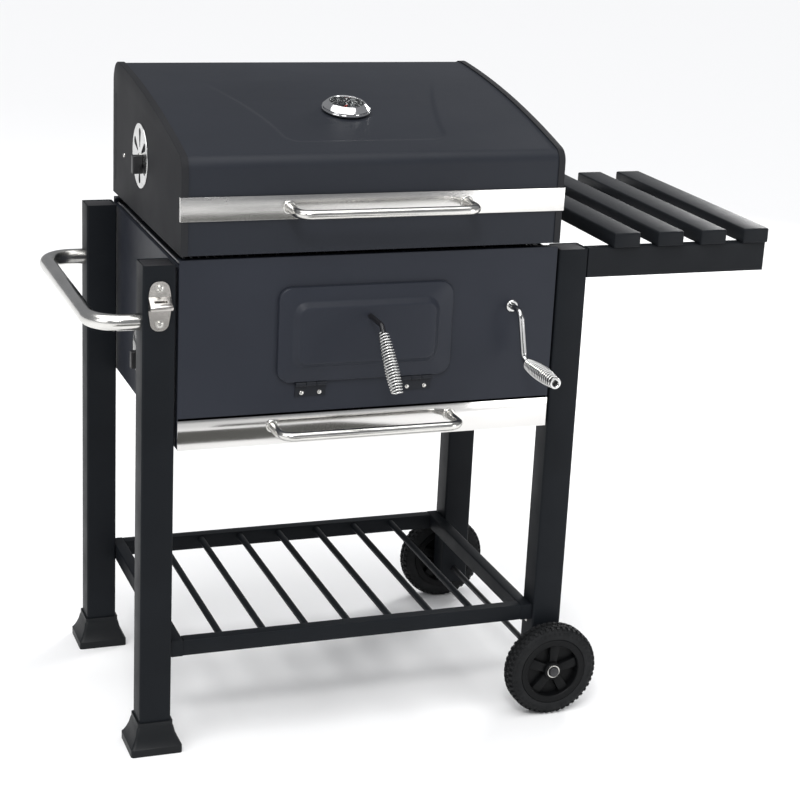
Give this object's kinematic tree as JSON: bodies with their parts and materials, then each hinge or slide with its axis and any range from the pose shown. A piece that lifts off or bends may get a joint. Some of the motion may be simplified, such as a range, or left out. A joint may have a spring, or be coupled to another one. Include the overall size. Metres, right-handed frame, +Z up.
{
  "type": "charcoal trolley grill",
  "caption": "Box-shaped charcoal grill with a hinged lid on a wheeled leg frame, with a fuel door, a crank-lifted charcoal pan, an ash drawer and a side table.",
  "frame": {"origin": "on the floor, under the middle of the whole object's box, push handle, side table, wheels and crank included", "axes": "+X towards the side table and the wheels, +Y towards the back, where the lid's hinges are, +Z up"},
  "size_m": [1.09, 0.6464, 0.9999],
  "materials": {
    "powder_coat": "satin",
    "frame_coat": "satin",
    "foot_plastic": "matte",
    "tyre_rubber": "matte",
    "stainless": "satin",
    "chrome_plate": "polished",
    "zinc_plate": "satin",
    "pan_enamel": "gloss",
    "needle_paint": "satin"
  },
  "bodies": {
    "frame": {"leg_front_left": "frame_coat", "leg_front_right": "frame_coat", "leg_back_left": "frame_coat", "leg_back_right": "frame_coat", "foot_front_left": "foot_plastic", "foot_back_left": "foot_plastic", "shelf_grid": "frame_coat", "shelf_left_rail": "frame_coat", "shelf_right_rail": "frame_coat", "axle": "zinc_plate", "firebox_front": "powder_coat", "firebox_back": "powder_coat", "firebox_left": "powder_coat", "firebox_right": "powder_coat", "cooking_grate_left": "chrome_plate", "cooking_grate_right": "chrome_plate", "table_front_rail": "frame_coat", "table_back_rail": "frame_coat", "table_slat_1": "frame_coat", "table_slat_2": "frame_coat", "table_slat_3": "frame_coat", "table_slat_4": "frame_coat", "door_hinge_left": "zinc_plate", "door_hinge_right": "zinc_plate", "crank_bush": "zinc_plate", "lid_hinge_base_left": "zinc_plate", "lid_hinge_base_right": "zinc_plate", "push_handle": "stainless", "bottle_opener": "stainless"},
    "wheel_front": {"tyre_front": "tyre_rubber", "hub_front": "foot_plastic"},
    "wheel_back": {"tyre_back": "tyre_rubber", "hub_back": "foot_plastic"},
    "ash_drawer": {"ash_tray": "pan_enamel", "ash_drawer_front": "stainless", "ash_drawer_handle": "stainless"},
    "charcoal_pan": {"charcoal_pan": "pan_enamel", "lift_rack": "zinc_plate", "lift_arm": "zinc_plate"},
    "crank": {"crank_rod": "chrome_plate", "crank_grip": "chrome_plate", "lift_pinion": "zinc_plate"},
    "fuel_door": {"fuel_door": "powder_coat", "door_knuckle_left": "powder_coat", "door_knuckle_right": "powder_coat"},
    "door_latch": {"door_handle_rod": "chrome_plate", "door_handle_grip": "chrome_plate", "door_latch_tongue": "zinc_plate"},
    "lid": {"lid_sheet": "powder_coat", "lid_cap_left": "powder_coat", "lid_cap_right": "powder_coat", "lid_trim": "stainless", "lid_handle": "stainless", "thermometer_case": "stainless", "lid_hinge_leaf_left": "zinc_plate", "lid_hinge_leaf_right": "zinc_plate"},
    "thermometer_needle": {"thermometer_needle": "needle_paint"},
    "lid_vent_left": {"lid_vent_left": "stainless"},
    "lid_vent_right": {"lid_vent_right": "stainless"},
    "firebox_vent": {"firebox_vent": "stainless"}
  },
  "joints": [
    {"name": "lid_hinge", "type": "hinge", "parent": "frame", "child": "lid", "pos_m": [-0.115, 0.28685, 0.78125], "axis": [-1, 0, 0], "range_deg": [0, 95]},
    {"name": "fuel_door_hinge", "type": "hinge", "parent": "frame", "child": "fuel_door", "pos_m": [-0.125, -0.17495, 0.5822], "axis": [1, 0, 0], "range_deg": [0, 50]},
    {"name": "door_latch_turn", "type": "hinge", "parent": "fuel_door", "child": "door_latch", "pos_m": [-0.123, -0.18545, 0.686], "axis": [0, -1, 0], "range_deg": [0, 90]},
    {"name": "crank_turn", "type": "hinge", "parent": "frame", "child": "crank", "pos_m": [0.112, -0.17115, 0.687], "axis": [0, 1, 0], "range_deg": [-135, 135]},
    {"name": "charcoal_pan_lift", "type": "slide", "parent": "frame", "child": "charcoal_pan", "axis": [0, 0, 1], "range_m": [-0.0296, 0.0296]},
    {"name": "ash_drawer_slide", "type": "slide", "parent": "frame", "child": "ash_drawer", "axis": [0, -1, 0], "range_m": [0, 0.3]},
    {"name": "wheel_front_spin", "type": "hinge", "parent": "frame", "child": "wheel_front", "pos_m": [0.2105, -0.19615, 0.077], "axis": [0, 1, 0], "continuous": true},
    {"name": "wheel_back_spin", "type": "hinge", "parent": "frame", "child": "wheel_back", "pos_m": [0.2105, 0.30085, 0.077], "axis": [0, 1, 0], "continuous": true},
    {"name": "thermometer_needle_turn", "type": "hinge", "parent": "lid", "child": "thermometer_needle", "pos_m": [-0.115, -0.01097, 0.97043], "axis": [0, -0.1918, 0.9814], "range_deg": [-270, 0]},
    {"name": "lid_vent_left_turn", "type": "hinge", "parent": "lid", "child": "lid_vent_left", "pos_m": [-0.4129, 0.08235, 0.881], "axis": [1, 0, 0], "range_deg": [0, 45]},
    {"name": "lid_vent_right_turn", "type": "hinge", "parent": "lid", "child": "lid_vent_right", "pos_m": [0.1829, 0.08235, 0.881], "axis": [1, 0, 0], "range_deg": [0, 45]},
    {"name": "firebox_vent_turn", "type": "hinge", "parent": "frame", "child": "firebox_vent", "pos_m": [-0.4129, 0.08235, 0.568], "axis": [1, 0, 0], "range_deg": [0, 45]}
  ],
  "couplings": [
    {"joint": "charcoal_pan_lift", "follows": "crank_turn", "m_per_rad": 0.0125}
  ]
}
